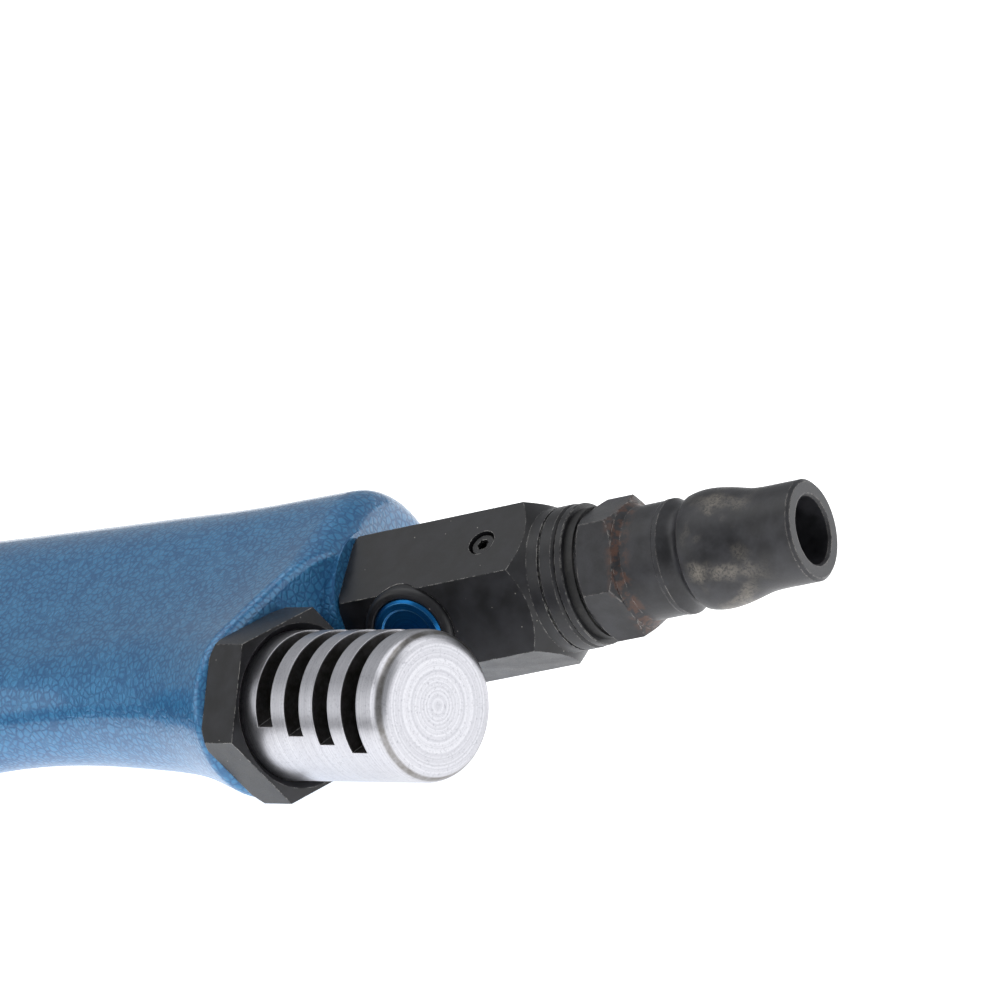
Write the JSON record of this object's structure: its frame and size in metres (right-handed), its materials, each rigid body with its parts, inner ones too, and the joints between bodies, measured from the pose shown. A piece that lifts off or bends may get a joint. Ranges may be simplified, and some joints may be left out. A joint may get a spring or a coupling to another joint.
{
  "type": "pneumatic rivet gun",
  "caption": "Pistol-grip pneumatic riveting hammer with trigger, slotted exhaust muffler, regulator block, swivelling hose plug, barrel, beehive retainer spring and rivet set.",
  "frame": {"origin": "under the middle of the tool's bounding box, on the surface that it lies on with its right side", "axes": "+X along the barrel towards the work, +Y along the exhaust, from the barrel towards the grip's end, +Z out of the tool's left side and up as it lies"},
  "size_m": [0.2464, 0.1956, 0.0428],
  "materials": {
    "blue_hammer_paint": "gloss hammertone enamel",
    "black_steel": "black oxide, oiled",
    "worn_black_steel": "black oxide, worn to bare metal on its high spots",
    "bare_aluminium": "turned",
    "blue_anodised": "bright blue anodised",
    "bright_steel": "zinc plated",
    "ground_steel": "hardened and ground",
    "spring_steel": "oil-tempered wire",
    "brass": "machined",
    "rubber": "matt"
  },
  "bodies": {
    "gun": {"handle": "blue_hammer_paint", "trigger_pin": "bright_steel", "throttle_bushing": "brass", "throttle_spring": "bright_steel", "bushing_oring": "rubber", "valve_gasket": "rubber", "valve_back_plate": "ground_steel", "valve_body": "ground_steel", "valve_front_plate": "ground_steel", "valve_dowels": "bright_steel", "barrel_gasket": "rubber", "barrel": "black_steel", "barrel_lock_washer": "bright_steel", "retainer_spring": "spring_steel", "muffler_lock_nut": "black_steel", "exhaust_muffler": "bare_aluminium", "inlet_block": "black_steel", "inlet_screen": "brass", "ball_fill_screw": "black_steel", "regulator_ring": "black_steel", "swivel_balls": "ground_steel"},
    "trigger": {"trigger": "black_steel"},
    "throttle_valve": {"throttle_valve": "bright_steel", "throttle_seal": "rubber"},
    "regulator": {"regulator_spindle": "blue_anodised", "regulator_knob": "blue_anodised", "knob_screw": "black_steel", "regulator_orings": "rubber"},
    "swivel": {"swivel_sleeve": "black_steel", "swivel_oring": "rubber", "plug_seal": "rubber", "hose_plug": "worn_black_steel"},
    "impact_valve": {"impact_valve": "ground_steel"},
    "piston": {"piston": "ground_steel"},
    "rivet_set": {"rivet_set": "ground_steel"}
  },
  "joints": [
    {"name": "trigger_pull", "type": "hinge", "parent": "gun", "child": "trigger", "pos_m": [-0.06541, -0.04526, 0.02138], "axis": [0, 0, 1], "range_deg": [0, 11], "stiffness_Nm_per_rad": 1.2, "springref_deg": -6.88},
    {"name": "throttle_slide", "type": "slide", "parent": "gun", "child": "throttle_valve", "axis": [-0.993, -0.1184, 0], "range_m": [0, 0.0035]},
    {"name": "regulator_turn", "type": "hinge", "parent": "gun", "child": "regulator", "pos_m": [-0.10182, 0.05115, 0.02138], "axis": [0.9357, 0.3369, 0.1045], "range_deg": [0, 180]},
    {"name": "swivel_spin", "type": "hinge", "parent": "gun", "child": "swivel", "pos_m": [-0.10521, 0.06056, 0.02138], "axis": [-0.3387, 0.9409, 0], "continuous": true},
    {"name": "impact_valve_slide", "type": "slide", "parent": "gun", "child": "impact_valve", "axis": [1, 0, 0], "range_m": [0, 0.0025]},
    {"name": "piston_stroke", "type": "slide", "parent": "gun", "child": "piston", "axis": [1, 0, 0], "range_m": [0, 0.0757]},
    {"name": "rivet_set_slide", "type": "slide", "parent": "gun", "child": "rivet_set", "axis": [1, 0, 0], "range_m": [0, 0.004]}
  ],
  "couplings": [
    {"joint": "throttle_slide", "follows": "trigger_pull", "m_per_rad": 0.0175}
  ]
}
